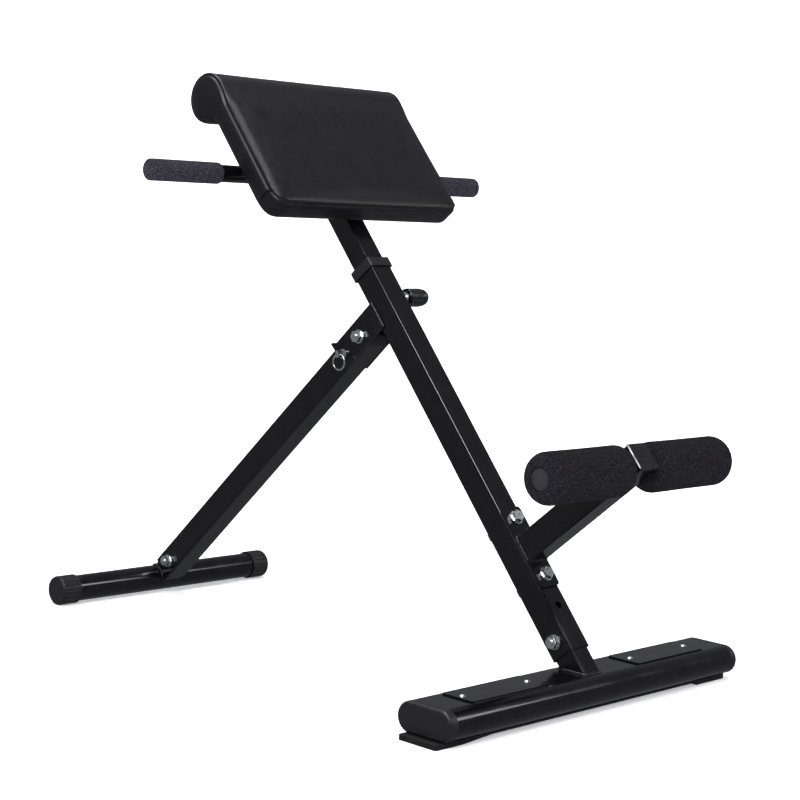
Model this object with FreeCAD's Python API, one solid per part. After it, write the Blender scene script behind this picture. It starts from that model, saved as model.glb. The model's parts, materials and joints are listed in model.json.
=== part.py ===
"""Roman chair (back-extension bench), free standing, folding, with a height-adjustable hip pad.

Millimetres, +Z up. +X points to the rear base with its foot plates, +Y to the side of the pull knob.
The origin lies on the floor, under the middle of the whole object.
"""
import FreeCAD, Part
import math
import os

Vector = FreeCAD.Vector
Rotation = FreeCAD.Rotation
Placement = FreeCAD.Placement
X_AXIS = Vector(1, 0, 0)
Y_AXIS = Vector(0, 1, 0)
Z_AXIS = Vector(0, 0, 1)

# ---- tube sizes -------------------------------------------------------------------------------
OUTER = 40.0              # main post, front strut and roller arm, square
OUTER_WALL = 2.0
INNER = 35.0              # sliding and lower posts, square
INNER_WALL = 1.5
CORNER = 3.0              # outside corner radius of the square tubes
GAP = 0.3                 # clearance between pieces that move past each other
RUNNING = 0.05            # radial clearance of a shaft that turns in a hole

# ---- main post: measured along its centre line from the floor ---------------------------------
POST_ANGLE = 50.0         # from the floor
POST_BOTTOM = 89.0
POST_TOP = 748.0
LOWER_POST_TOP = 345.0
LOWER_BOLT_AT = 111.0
PIVOT_AT = 667.0
PIVOT_OUT = 61.0          # pivot's distance from the post's centre line, on its front side
PULL_PIN_AT = 694.0
COLLAR_BOTTOM = 738.0
COLLAR_TOP = 754.0
COLLAR_HALF = 23.0

# ---- roller bracket, arm and rollers ----------------------------------------------------------
ARM_AT = 244.4
ARM_END = 263.0           # arm's end, from the post's centre line
ADJUST_PITCH = 46.0
ADJUST_FIRST = 156.0      # first of the adjusting holes on the post's rear face
BRACKET_PLATE = 4.0
AXLE_AT = 239.9
AXLE_OUT = 237.2
AXLE_R = 12.7
AXLE_WALL = 1.5
AXLE_HALF = 189.0
ROLLER_R = 35.0
ROLLER_INNER_END = 24.5
ROLLER_OUTER_END = 194.0
ROLLER_ROUND = 18.0
SLEEVE_R = 14.3

# ---- front strut and front foot ---------------------------------------------------------------
FOOT_R = 21.0
FOOT_WALL = 1.5
FOOT_CAP_R = 23.5
FOOT_CAP_INNER = 186.0
FOOT_HALF = 221.0
FOOT_REACH = 944.5        # front foot's distance from the point where the post's line meets the floor
STRUT_BOTTOM = 26.5       # strut's lower end, from the foot's centre
FOOT_BOLT_UP = 50.7
LOCK_DOWN = 41.8          # lock pin's distance below the strut pivot
STRUT_BRACKET_END = 55.0  # bracket's lower end, from the strut pivot

# ---- rear base --------------------------------------------------------------------------------
BASE_TOP = 48.5
BASE_HALF_HEIGHT = 20.75
BASE_FLAT_HALF = 27.0
BASE_WALL = 2.0
BASE_TUBE_HALF = 297.0
BASE_HALF = 311.0
SOLE_HALF_WIDTH = 33.0
SOLE_NEAR_END = -322.0
SOLE_FAR_END = 302.0
SOLE_STRIP_UNDER = 4.0    # height of the middle strip above the floor
PLATE_NEAR_END = 96.0
PLATE_FAR_END = 250.0
PLATE_THICK = 2.0
PLATE_SCREWS = (112.0, 240.0)

# ---- seat: sliding post, handlebar and hip pad ------------------------------------------------
UPPER_POST_BOTTOM = 520.0
UPPER_POST_TOP = 1000.0
HANDLEBAR_AT = 918.0
HANDLEBAR_R = 12.7
HANDLEBAR_WALL = 1.5
HANDLEBAR_HALF = 337.0
GRIP_R = 16.0
GRIP_INNER_END = 213.0
GRIP_HALF = 341.0
HEIGHT_PITCH = 50.0
PAD_HALF_WIDTH = 192.0
PAD_BOTTOM = 817.0
PAD_BACK = 21.0
PAD_FACE = 64.0
ROLL_AT = 1041.0          # centre of the rounded roll along the pad's upper edge
ROLL_R = 39.0
BOARD_THICK = 12.0
MOUNT_PLATE = 3.0

# ---- fasteners --------------------------------------------------------------------------------
BOLT_R = 5.0              # M10
HEX_ACROSS_FLATS = 16.0
HEAD_THICK = 6.4
NUT_THICK = 8.0
WASHER_R = 10.4
WASHER_THICK = 2.0

# ---- places worked out from the driving sizes -------------------------------------------------
POST_TILT = 90.0 - POST_ANGLE
COS_POST = math.cos(math.radians(POST_ANGLE))
SIN_POST = math.sin(math.radians(POST_ANGLE))
FRONT_REACH = FOOT_REACH + FOOT_CAP_R
REAR_REACH = AXLE_OUT * SIN_POST - AXLE_AT * COS_POST + ROLLER_R
POST_X = (FRONT_REACH - REAR_REACH) / 2.0
BASE_X = POST_X - BASE_TOP / math.tan(math.radians(POST_ANGLE))
BASE_MID_Z = BASE_TOP - BASE_HALF_HEIGHT
BASE_UNDER = BASE_TOP - 2 * BASE_HALF_HEIGHT
FOOT_X = POST_X - FOOT_REACH
HALF_OUTER = OUTER / 2.0
HALF_INNER = INNER / 2.0


def post_point(along, out, y=0.0):
    """Row position of a point given along the post, out from its centre line, and across it."""
    x = POST_X - along * COS_POST + out * SIN_POST
    z = along * SIN_POST + out * COS_POST
    return Vector(x, y, z)


PIVOT = post_point(PIVOT_AT, -PIVOT_OUT)
STRUT_LENGTH = math.hypot(PIVOT.x - FOOT_X, PIVOT.z - FOOT_CAP_R)
STRUT_LEAN = math.degrees(math.atan2(PIVOT.x - FOOT_X, PIVOT.z - FOOT_CAP_R))
POST_FRAME = Placement(Vector(POST_X, 0, 0), Rotation(Y_AXIS, -POST_TILT))
STRUT_FRAME = Placement(Vector(FOOT_X, 0, FOOT_CAP_R), Rotation(Y_AXIS, STRUT_LEAN))


# ---- general shapes ---------------------------------------------------------------------------
def box(x0, x1, y0, y1, z0, z1):
    return Part.makeBox(x1 - x0, y1 - y0, z1 - z0, Vector(x0, y0, z0))


def rod(radius, start, end):
    """A round bar from one point to another."""
    line = end - start
    return Part.makeCylinder(radius, line.Length, start, line)


def across(radius, x, z, y0, y1):
    """A round bar along Y."""
    return rod(radius, Vector(x, y0, z), Vector(x, y1, z))


def fuse(shapes):
    result = shapes[0]
    for shape in shapes[1:]:
        result = result.fuse(shape)
    return result.removeSplitter()


def cut(shape, tools):
    for tool in tools:
        shape = shape.cut(tool)
    return shape


def vertical_edges(shape):
    """Edges that run along Z."""
    found = []
    for edge in shape.Edges:
        line = edge.Vertexes[-1].Point - edge.Vertexes[0].Point
        if line.Length > 1e-6 and abs(abs(line.normalize().z) - 1) < 1e-6:
            found.append(edge)
    return found


def rims_at(shape, y):
    """Edges that lie in the plane of the given Y."""
    return [edge for edge in shape.Edges
            if abs(edge.BoundBox.YMin - y) < 0.01 and edge.BoundBox.YLength < 0.01]


def rounded_bar(half, z0, z1, radius):
    """A square bar along Z with rounded long edges."""
    bar = box(-half, half, -half, half, z0, z1)
    return bar.makeFillet(radius, vertical_edges(bar))


def square_tube(side, wall, z0, z1):
    """A square tube along Z, open at both ends."""
    outside = rounded_bar(side / 2.0, z0, z1, CORNER)
    inside = rounded_bar(side / 2.0 - wall, z0 - 1, z1 + 1, CORNER - wall)
    return outside.cut(inside)


def in_post(shape):
    """Place a shape drawn with Z along the post and X out of its rear face."""
    shape.Placement = POST_FRAME.multiply(shape.Placement)
    return shape


def in_strut(shape):
    """Place a shape drawn with Z along the strut and X out of its underside."""
    shape.Placement = STRUT_FRAME.multiply(shape.Placement)
    return shape


def hex_prism(across_flats, thickness):
    """A hexagon with chamfered corners, standing on Z = 0."""
    radius = across_flats / math.sqrt(3)
    corners = []
    for step in range(7):
        turn = math.radians(60 * step)
        corners.append(Vector(radius * math.cos(turn), radius * math.sin(turn), 0))
    prism = Part.Face(Part.makePolygon(corners)).extrude(Vector(0, 0, thickness))
    tip = across_flats / 2.0 - 0.3
    cone = Part.makeCone(radius + thickness, tip, thickness + radius - tip + 0.3)
    return prism.common(cone)


def washer():
    ring = Part.makeCylinder(WASHER_R, WASHER_THICK)
    return ring.cut(Part.makeCylinder(BOLT_R + 0.2, WASHER_THICK))


def nut():
    block = hex_prism(HEX_ACROSS_FLATS, NUT_THICK)
    return block.cut(Part.makeCylinder(BOLT_R, NUT_THICK))


def bolt(grip):
    """A hex bolt: head under Z = 0, shank up through the grip, washers and nut, and 2 mm beyond."""
    head = hex_prism(HEX_ACROSS_FLATS, HEAD_THICK)
    head.rotate(Vector(0, 0, 0), X_AXIS, 180)
    stack = grip + 2 * WASHER_THICK
    shank = Part.makeCylinder(BOLT_R, stack + NUT_THICK + 2.0)
    rims = [edge for edge in shank.Edges if edge.Length > 1 and edge.BoundBox.ZMin > stack]
    shank = shank.makeChamfer(0.8, rims[:1])
    return head.fuse(shank)


def bolt_set(start, direction, grip):
    """Bolt, two washers and nut that clamp a stack of the given thickness, from its head's side."""
    turn = Rotation(Z_AXIS, direction)
    unit = Vector(direction).normalize()
    fixed = {"bolt": bolt(grip), "nut": nut(), "near": washer(), "far": washer()}
    steps = {"bolt": -WASHER_THICK, "near": -WASHER_THICK, "far": grip, "nut": grip + WASHER_THICK}
    for key, shape in fixed.items():
        shape.Placement = Placement(start + unit * steps[key], turn)
    return fixed["bolt"], [fixed["near"], fixed["far"]], fixed["nut"]


# ---- rear base --------------------------------------------------------------------------------
def flat_oval(half_flat, radius, y0, y1):
    """A bar along Y whose section is a rectangle with half-round ends."""
    middle = box(BASE_X - half_flat, BASE_X + half_flat, y0, y1, BASE_MID_Z - radius, BASE_MID_Z + radius)
    front = across(radius, BASE_X - half_flat, BASE_MID_Z, y0, y1)
    rear = across(radius, BASE_X + half_flat, BASE_MID_Z, y0, y1)
    return fuse([middle, front, rear])


def base_tube():
    outside = flat_oval(BASE_FLAT_HALF, BASE_HALF_HEIGHT, -BASE_TUBE_HALF, BASE_TUBE_HALF)
    inside = flat_oval(BASE_FLAT_HALF, BASE_HALF_HEIGHT - BASE_WALL, -BASE_HALF, BASE_HALF)
    holes = []
    for place in PLATE_SCREWS:
        for side in (-1, 1):
            holes.append(Part.makeCylinder(2.0, 12, Vector(BASE_X, side * place, BASE_TOP - 8)))
    return cut(outside, [inside] + holes)


def base_end_cap(side):
    inner, outer = sorted((side * BASE_TUBE_HALF, side * BASE_HALF))
    flange = flat_oval(BASE_FLAT_HALF, BASE_HALF_HEIGHT, inner, outer)
    flange = flange.makeFillet(5.0, rims_at(flange, side * BASE_HALF))
    root = sorted((side * (BASE_TUBE_HALF - 18), side * BASE_TUBE_HALF))
    insert = flat_oval(BASE_FLAT_HALF, BASE_HALF_HEIGHT - BASE_WALL - 0.1, root[0], root[1])
    hollow = flat_oval(BASE_FLAT_HALF - 2, BASE_HALF_HEIGHT - BASE_WALL - 3, root[0] - 1, root[1] + 1)
    hollow_trim = box(BASE_X - 60, BASE_X + 60, root[0] - 2, root[1], 0, 80)
    return flange.fuse(insert.cut(hollow.common(hollow_trim))).removeSplitter()


def base_sole():
    """Moulded runner under the base: a thin strip with a thick foot block at each end."""
    width = SOLE_HALF_WIDTH
    strip_y = (SOLE_NEAR_END + 40, SOLE_FAR_END - 40)
    strip = box(BASE_X - width, BASE_X + width, *strip_y, SOLE_STRIP_UNDER, BASE_UNDER)
    pieces = [strip]
    for end, inner, ramp in ((SOLE_NEAR_END, -270.0, -216.0), (SOLE_FAR_END, 232.0, 224.0)):
        low, high = sorted((end, inner))
        block = box(BASE_X - width, BASE_X + width, low, high, 0, BASE_UNDER)
        rims = [edge for edge in vertical_edges(block) if abs(edge.BoundBox.YMin - end) < 1e-3]
        pieces.append(block.makeFillet(4.0, rims))
        outline = [Vector(BASE_X - width, inner, 0), Vector(BASE_X - width, ramp, SOLE_STRIP_UNDER),
                   Vector(BASE_X - width, ramp, BASE_UNDER), Vector(BASE_X - width, inner, BASE_UNDER)]
        wedge = Part.Face(Part.makePolygon(outline + outline[:1])).extrude(Vector(2 * width, 0, 0))
        pieces.append(wedge)
    return fuse(pieces)


def foot_plate(side):
    inner, outer = sorted((side * PLATE_NEAR_END, side * PLATE_FAR_END))
    plate = box(BASE_X - BASE_FLAT_HALF, BASE_X + BASE_FLAT_HALF, inner, outer,
                BASE_TOP, BASE_TOP + PLATE_THICK)
    plate = plate.makeFillet(3.0, vertical_edges(plate))
    holes = [Part.makeCylinder(2.1, 10, Vector(BASE_X, side * place, BASE_TOP - 2)) for place in PLATE_SCREWS]
    return cut(plate, holes)


def foot_plate_screws():
    screws = []
    for side in (-1, 1):
        for place in PLATE_SCREWS:
            seat = Vector(BASE_X, side * place, BASE_TOP + PLATE_THICK)
            dome = Part.makeSphere(6.0, seat - Vector(0, 0, 3.8))
            head = dome.common(Part.makeCylinder(5.0, 4, seat))
            shank = Part.makeCylinder(1.95, 10, seat - Vector(0, 0, 10))
            screws.append(head.fuse(shank))
    return Part.makeCompound(screws)


# ---- fixed posts ------------------------------------------------------------------------------
def roller_bolt_places():
    return [ADJUST_FIRST + ADJUST_PITCH, ADJUST_FIRST + 3 * ADJUST_PITCH]


def adjust_holes(start, end, radius):
    """Bores through the post from front to rear, at every adjusting place."""
    bores = []
    for step in range(4):
        along = ADJUST_FIRST + step * ADJUST_PITCH
        bores.append(rod(radius, Vector(start, 0, along), Vector(end, 0, along)))
    return bores


def lower_post():
    tube = square_tube(INNER, INNER_WALL, 0, LOWER_POST_TOP)
    bores = adjust_holes(-30, 30, BOLT_R + 0.2)
    bores.append(across(BOLT_R + 0.2, 0, LOWER_BOLT_AT, -30, 30))
    tube = in_post(cut(tube, bores))
    return tube.cut(box(BASE_X - 200, BASE_X + 200, -100, 100, -200, BASE_TOP))


def main_post():
    tube = square_tube(OUTER, OUTER_WALL, POST_BOTTOM, POST_TOP)
    bores = adjust_holes(-30, 30, BOLT_R + 0.2)
    bores.append(across(BOLT_R + 0.2, 0, LOWER_BOLT_AT, -30, 30))
    bores.append(across(4.0 + RUNNING, 0, PULL_PIN_AT, 15, 30))
    return in_post(cut(tube, bores))


def post_collar():
    """Plastic cap over the post's upper end; the sliding post runs through it."""
    body = box(-COLLAR_HALF, COLLAR_HALF, -COLLAR_HALF, COLLAR_HALF, COLLAR_BOTTOM, COLLAR_TOP)
    body = body.makeFillet(4.0, vertical_edges(body))
    rim = [edge for edge in body.Edges if edge.BoundBox.ZMin > COLLAR_TOP - 1e-3]
    body = body.makeChamfer(1.5, rim)
    socket = rounded_bar(HALF_OUTER, COLLAR_BOTTOM - 1, POST_TOP, CORNER)
    opening = rounded_bar(HALF_INNER + GAP, COLLAR_BOTTOM, COLLAR_TOP + 1, CORNER)
    return in_post(cut(body, [socket, opening]))


# ---- roller bracket and rollers ---------------------------------------------------------------
def roller_bracket():
    ends = roller_bolt_places()
    low = ends[0] - 18.0
    high = ends[1] + 18.0
    plate = box(HALF_OUTER, HALF_OUTER + BRACKET_PLATE, -HALF_OUTER, HALF_OUTER, low, high)
    corners = [edge for edge in plate.Edges if edge.Length < BRACKET_PLATE + 0.01]
    plate = plate.makeFillet(6.0, corners)
    bores = adjust_holes(0, 40, BOLT_R + 0.2)
    return in_post(cut(plate, [bores[1], bores[3]]))


def roller_arm():
    tube = square_tube(OUTER, OUTER_WALL, HALF_OUTER + BRACKET_PLATE, ARM_END - 3)
    tube.Placement = Placement(Vector(0, 0, ARM_AT), Rotation(Y_AXIS, 90))
    bore = across(AXLE_R + RUNNING, AXLE_OUT, AXLE_AT, -40, 40)
    return in_post(tube.cut(bore))


def arm_end_plug():
    flange = rounded_bar(HALF_OUTER + 0.6, ARM_END - 3, ARM_END, CORNER)
    rim = [edge for edge in flange.Edges if edge.BoundBox.ZMin > ARM_END - 1e-3]
    flange = flange.makeChamfer(1.2, rim)
    insert = rounded_bar(HALF_OUTER - OUTER_WALL - 0.1, ARM_END - 9, ARM_END - 3, 1.0)
    plug = flange.fuse(insert)
    plug.Placement = Placement(Vector(0, 0, ARM_AT), Rotation(Y_AXIS, 90))
    return in_post(plug)


def axle_bar(radius, y0, y1):
    return across(radius, AXLE_OUT, AXLE_AT, y0, y1)


def roller_axle():
    tube = axle_bar(AXLE_R, -AXLE_HALF, AXLE_HALF).cut(axle_bar(AXLE_R - AXLE_WALL, -200, 200))
    return in_post(tube)


def roller_end_plugs():
    plugs = []
    for side in (-1, 1):
        disc = axle_bar(15.0, *sorted((side * AXLE_HALF, side * (AXLE_HALF + 3.0))))
        disc = disc.makeFillet(1.4, rims_at(disc, side * (AXLE_HALF + 3.0)))
        stem = axle_bar(AXLE_R - AXLE_WALL - 0.1, *sorted((side * (AXLE_HALF - 12), side * AXLE_HALF)))
        plugs.append(in_post(disc.fuse(stem)))
    return Part.makeCompound(plugs)


def roller_spacers():
    rings = []
    for side in (-1, 1):
        y0, y1 = sorted((side * HALF_OUTER, side * (ROLLER_INNER_END - GAP)))
        rings.append(in_post(axle_bar(17.0, y0, y1).cut(axle_bar(AXLE_R + RUNNING, y0 - 1, y1 + 1))))
    return Part.makeCompound(rings)


def roller_sleeve(side):
    y0, y1 = sorted((side * ROLLER_INNER_END, side * (AXLE_HALF - GAP)))
    return in_post(axle_bar(SLEEVE_R, y0, y1).cut(axle_bar(AXLE_R + RUNNING, y0 - 1, y1 + 1)))


def roller_foam(side):
    y0, y1 = sorted((side * ROLLER_INNER_END, side * ROLLER_OUTER_END))
    body = axle_bar(ROLLER_R, y0, y1)
    body = body.makeFillet(ROLLER_ROUND, rims_at(body, y0) + rims_at(body, y1))
    bore = axle_bar(SLEEVE_R, y0 - 1, y1 + 1)
    recess = axle_bar(16.5, *sorted((side * (AXLE_HALF - GAP), side * (ROLLER_OUTER_END + 1))))
    return in_post(cut(body, [bore, recess]))


# ---- front strut, its bracket and the front foot ----------------------------------------------
def strut_bracket():
    """Channel on the post's front face: two cheeks, and a web over the strut that stops it when open."""
    inside = HALF_OUTER + GAP
    outside = inside + 3.0
    low = STRUT_LENGTH - STRUT_BRACKET_END
    high = STRUT_LENGTH + 80.0
    cheeks = [box(-outside, HALF_OUTER, inside, outside, low, high),
              box(-outside, HALF_OUTER, -outside, -inside, low, high)]
    web = box(-outside, -inside, -outside, outside, low, high)
    lip = box(-outside - 6.0, -inside, -outside, outside, low, low + 3.0)
    bores = [across(BOLT_R + RUNNING, 0, STRUT_LENGTH, -40, 40),
             across(4.0 + RUNNING, 0, STRUT_LENGTH - LOCK_DOWN, -40, 40)]
    cheeks = in_strut(cut(fuse(cheeks), bores))
    top = in_strut(fuse([web, lip]))
    behind_cheeks = in_post(box(-HALF_OUTER + 7.0, 200, -60, 60, 400, 900))
    behind_web = in_post(box(-HALF_OUTER, 200, -60, 60, 400, 900))
    return cheeks.cut(behind_cheeks).fuse(top.cut(behind_web)).removeSplitter()


def front_strut():
    """Square tube with a rounded upper end about the pivot."""
    outside = fuse([rounded_bar(HALF_OUTER, STRUT_BOTTOM, STRUT_LENGTH, CORNER),
                    across(HALF_OUTER, 0, STRUT_LENGTH, -HALF_OUTER, HALF_OUTER)])
    room = HALF_OUTER - OUTER_WALL
    inside = fuse([box(-room, room, -room, room, STRUT_BOTTOM - 1, STRUT_LENGTH),
                   across(room, 0, STRUT_LENGTH, -room, room)])
    bores = [across(BOLT_R + RUNNING, 0, STRUT_LENGTH, -40, 40),
             across(4.3, 0, STRUT_LENGTH - LOCK_DOWN, -40, 40),
             across(BOLT_R + 0.2, 0, FOOT_BOLT_UP, -40, 40)]
    return in_strut(cut(outside, [inside] + bores))


def strut_spigot():
    """Short square tube welded on the front foot; the strut slips over it."""
    tube = square_tube(INNER, INNER_WALL, 0, 115)
    tube = tube.cut(across(BOLT_R + 0.2, 0, FOOT_BOLT_UP, -40, 40))
    return in_strut(tube).cut(across(FOOT_R, FOOT_X, FOOT_CAP_R, -60, 60))


def front_foot_tube():
    end = FOOT_HALF - 7.0
    tube = across(FOOT_R, FOOT_X, FOOT_CAP_R, -end, end)
    return tube.cut(across(FOOT_R - FOOT_WALL, FOOT_X, FOOT_CAP_R, -end - 1, end + 1))


def front_foot_cap(side):
    y0, y1 = sorted((side * FOOT_CAP_INNER, side * FOOT_HALF))
    body = across(FOOT_CAP_R, FOOT_X, FOOT_CAP_R, y0, y1)
    body = body.makeFillet(5.0, rims_at(body, side * FOOT_HALF))
    grooves = []
    count = 20
    for step in range(count):
        turn = math.radians(360.0 * (step + 0.5) / count)
        x = FOOT_X + (FOOT_CAP_R + 1.0) * math.sin(turn)
        z = FOOT_CAP_R - (FOOT_CAP_R + 1.0) * math.cos(turn)
        grooves.append(across(2.2, x, z, *sorted((side * (FOOT_CAP_INNER + 4), side * (FOOT_HALF + 1)))))
    socket_y = sorted((side * (FOOT_CAP_INNER - 1), side * (FOOT_HALF - 7)))
    socket = across(FOOT_R, FOOT_X, FOOT_CAP_R, *socket_y)
    return cut(body, grooves + [socket])


# ---- lock pin and its ring --------------------------------------------------------------------
LOCK_POINT = STRUT_FRAME.multVec(Vector(0, 0, STRUT_LENGTH - LOCK_DOWN))
RING_R = 12.0
RING_WIRE_R = 1.2
RING_EYE_Y = -34.0


def lock_pin():
    """Pin with a round flange and a flat eye that carries the ring."""
    x = LOCK_POINT.x
    z = LOCK_POINT.z
    shank = across(4.0, x, z, -24.0, -21.0)
    flange = across(7.5, x, z, -27.0, -23.6)
    eye = box(x - 3.0, x + 3.0, -39.0, -27.0, z - 5.0, z + 5.0)
    hole = rod(2.1, Vector(x - 10, RING_EYE_Y, z), Vector(x + 10, RING_EYE_Y, z))
    return fuse([shank, flange, eye]).cut(hole)


def lock_ring():
    centre = Vector(LOCK_POINT.x, RING_EYE_Y, LOCK_POINT.z - RING_R)
    return Part.makeTorus(RING_R, RING_WIRE_R, centre, Y_AXIS)


# ---- pull pin ---------------------------------------------------------------------------------
PIN_R = 4.0
HOUSING_R = 9.0
HOUSING_END = 40.0
CHAMBER_R = 6.6
CHAMBER_START = 24.0
CHAMBER_END = 37.0
PIN_COLLAR_END = 26.0
SPRING_WIRE_R = 0.4
SPRING_TURNS = 4
KNOB_R = 14.0
KNOB_START = 42.0
KNOB_DOME_AT = 74.0
KNOB_DOME_R = 13.0


def pin_bar(radius, y0, y1):
    return across(radius, 0, PULL_PIN_AT, y0, y1)


def pull_pin_housing():
    body = pin_bar(HOUSING_R, HALF_OUTER, HOUSING_END)
    room = pin_bar(CHAMBER_R, CHAMBER_START, CHAMBER_END)
    return in_post(cut(body, [room, pin_bar(PIN_R + RUNNING, 0, 60)]))


def pull_pin():
    shank = pin_bar(PIN_R, HALF_OUTER - OUTER_WALL + GAP, KNOB_DOME_AT - 6)
    collar = pin_bar(CHAMBER_R - GAP, CHAMBER_START + 0.5, PIN_COLLAR_END)
    return in_post(shank.fuse(collar))


def pull_knob():
    """Ribbed grip with a round dome on its end."""
    grip = pin_bar(KNOB_R, KNOB_START, KNOB_DOME_AT - 5)
    grip = grip.makeFillet(2.0, rims_at(grip, KNOB_START))
    dome = Part.makeSphere(KNOB_DOME_R, Vector(0, KNOB_DOME_AT, PULL_PIN_AT))
    body = grip.fuse(dome)
    grooves = []
    count = 14
    for step in range(count):
        turn = math.radians(360.0 * step / count)
        x = (KNOB_R + 0.8) * math.cos(turn)
        z = PULL_PIN_AT + (KNOB_R + 0.8) * math.sin(turn)
        grooves.append(across(1.5, x, z, KNOB_START + 3, KNOB_DOME_AT - 8))
    return in_post(cut(body, grooves + [pin_bar(PIN_R, KNOB_START - 1, KNOB_DOME_AT - 6)]))


def pull_pin_spring():
    """Compression spring between the pin's collar and the housing's end, made of half circles end to end."""
    end_room = SPRING_WIRE_R + 0.1
    start = PIN_COLLAR_END + end_room
    rise = (CHAMBER_END - end_room - start) / (2 * SPRING_TURNS)
    coil_r = (PIN_R + CHAMBER_R) / 2.0
    arc_r = math.hypot(coil_r, rise / 2.0)
    half_turns = []
    for number in range(2 * SPRING_TURNS):
        side = 1 - 2 * (number % 2)
        begin = Vector(side * coil_r, start + number * rise, 0)
        middle = Vector(0, start + (number + 0.5) * rise, side * arc_r)
        end = Vector(-side * coil_r, start + (number + 1) * rise, 0)
        half_turns.append(Part.Arc(begin, middle, end).toShape())
    section = Part.Wire(Part.makeCircle(SPRING_WIRE_R, Vector(coil_r, start, 0), Z_AXIS))
    coil = Part.Wire(half_turns).makePipeShell([section], True, False)
    coil.translate(Vector(0, 0, PULL_PIN_AT))
    return in_post(coil)


# ---- seat: sliding post, handlebar, pad -------------------------------------------------------
def upper_post():
    tube = square_tube(INNER, INNER_WALL, UPPER_POST_BOTTOM, UPPER_POST_TOP)
    bores = [across(HANDLEBAR_R, 0, HANDLEBAR_AT, -40, 40)]
    for step in range(-1, 3):
        bores.append(across(4.3, 0, PULL_PIN_AT - step * HEIGHT_PITCH, 0, 40))
    return in_post(cut(tube, bores))


def upper_post_plug():
    flange = rounded_bar(HALF_INNER, UPPER_POST_TOP, UPPER_POST_TOP + 2, CORNER)
    insert = rounded_bar(HALF_INNER - INNER_WALL - 0.1, UPPER_POST_TOP - 14, UPPER_POST_TOP, 2.0)
    return in_post(flange.fuse(insert))


def handlebar():
    tube = across(HANDLEBAR_R, 0, HANDLEBAR_AT, -HANDLEBAR_HALF, HANDLEBAR_HALF)
    return in_post(tube.cut(across(HANDLEBAR_R - HANDLEBAR_WALL, 0, HANDLEBAR_AT, -400, 400)))


def handlebar_plugs():
    plugs = []
    for side in (-1, 1):
        y0, y1 = sorted((side * (HANDLEBAR_HALF - 15), side * HANDLEBAR_HALF))
        plugs.append(in_post(across(HANDLEBAR_R - HANDLEBAR_WALL, 0, HANDLEBAR_AT, y0, y1)))
    return Part.makeCompound(plugs)


def hand_grip(side):
    """Foam grip with a closed rounded outer end and a chamfered inner end."""
    y0, y1 = sorted((side * GRIP_INNER_END, side * GRIP_HALF))
    body = across(GRIP_R, 0, HANDLEBAR_AT, y0, y1)
    body = body.makeFillet(3.0, rims_at(body, side * GRIP_HALF))
    body = body.makeChamfer(2.6, rims_at(body, side * GRIP_INNER_END))
    bore = across(HANDLEBAR_R, 0, HANDLEBAR_AT, *sorted((side * (GRIP_INNER_END - 1), side * HANDLEBAR_HALF)))
    return in_post(body.cut(bore))


MOUNT_PLACES = (862.0, 972.0)
MOUNT_HALF_LENGTH = 20.0
MOUNT_HALF_WIDTH = 70.0
MOUNT_SCREW_AT = 58.0


def pad_mount_plates():
    """Two flat bars welded across the sliding post's rear face; the pad's board is screwed to them."""
    plates = []
    for place in MOUNT_PLACES:
        plate = box(HALF_INNER, HALF_INNER + MOUNT_PLATE, -MOUNT_HALF_WIDTH, MOUNT_HALF_WIDTH,
                    place - MOUNT_HALF_LENGTH, place + MOUNT_HALF_LENGTH)
        corners = [edge for edge in plate.Edges if edge.Length < MOUNT_PLATE + 0.01]
        plate = plate.makeFillet(5.0, corners)
        bores = [rod(3.2, Vector(0, side * MOUNT_SCREW_AT, place), Vector(60, side * MOUNT_SCREW_AT, place))
                 for side in (-1, 1)]
        plates.append(in_post(cut(plate, bores)))
    return Part.makeCompound(plates)


def pad_screws():
    screws = []
    for place in MOUNT_PLACES:
        for side in (-1, 1):
            y = side * MOUNT_SCREW_AT
            head = rod(6.0, Vector(HALF_INNER - 3.6, y, place), Vector(HALF_INNER, y, place))
            rims = [edge for edge in head.Edges if edge.BoundBox.XMax < HALF_INNER - 3.5]
            head = head.makeFillet(1.5, rims)
            shank = rod(3.0, Vector(HALF_INNER, y, place), Vector(HALF_INNER + 13, y, place))
            screws.append(in_post(head.fuse(shank)))
    return Part.makeCompound(screws)


BOARD_BACK = HALF_INNER + MOUNT_PLATE
BOARD_FRONT = BOARD_BACK + BOARD_THICK
BOARD_BOTTOM = PAD_BOTTOM + 22.0
BOARD_TOP = 996.0
BOARD_HALF_WIDTH = PAD_HALF_WIDTH - 14.0


def pad_board():
    board = box(BOARD_BACK, BOARD_FRONT, -BOARD_HALF_WIDTH, BOARD_HALF_WIDTH, BOARD_BOTTOM, BOARD_TOP)
    corners = [edge for edge in board.Edges if edge.Length < BOARD_THICK + 0.01]
    board = board.makeFillet(12.0, corners)
    bores = []
    for place in MOUNT_PLACES:
        for side in (-1, 1):
            y = side * MOUNT_SCREW_AT
            bores.append(rod(3.0, Vector(BOARD_BACK - 1, y, place), Vector(HALF_INNER + 13, y, place)))
    return in_post(cut(board, bores))


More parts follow.
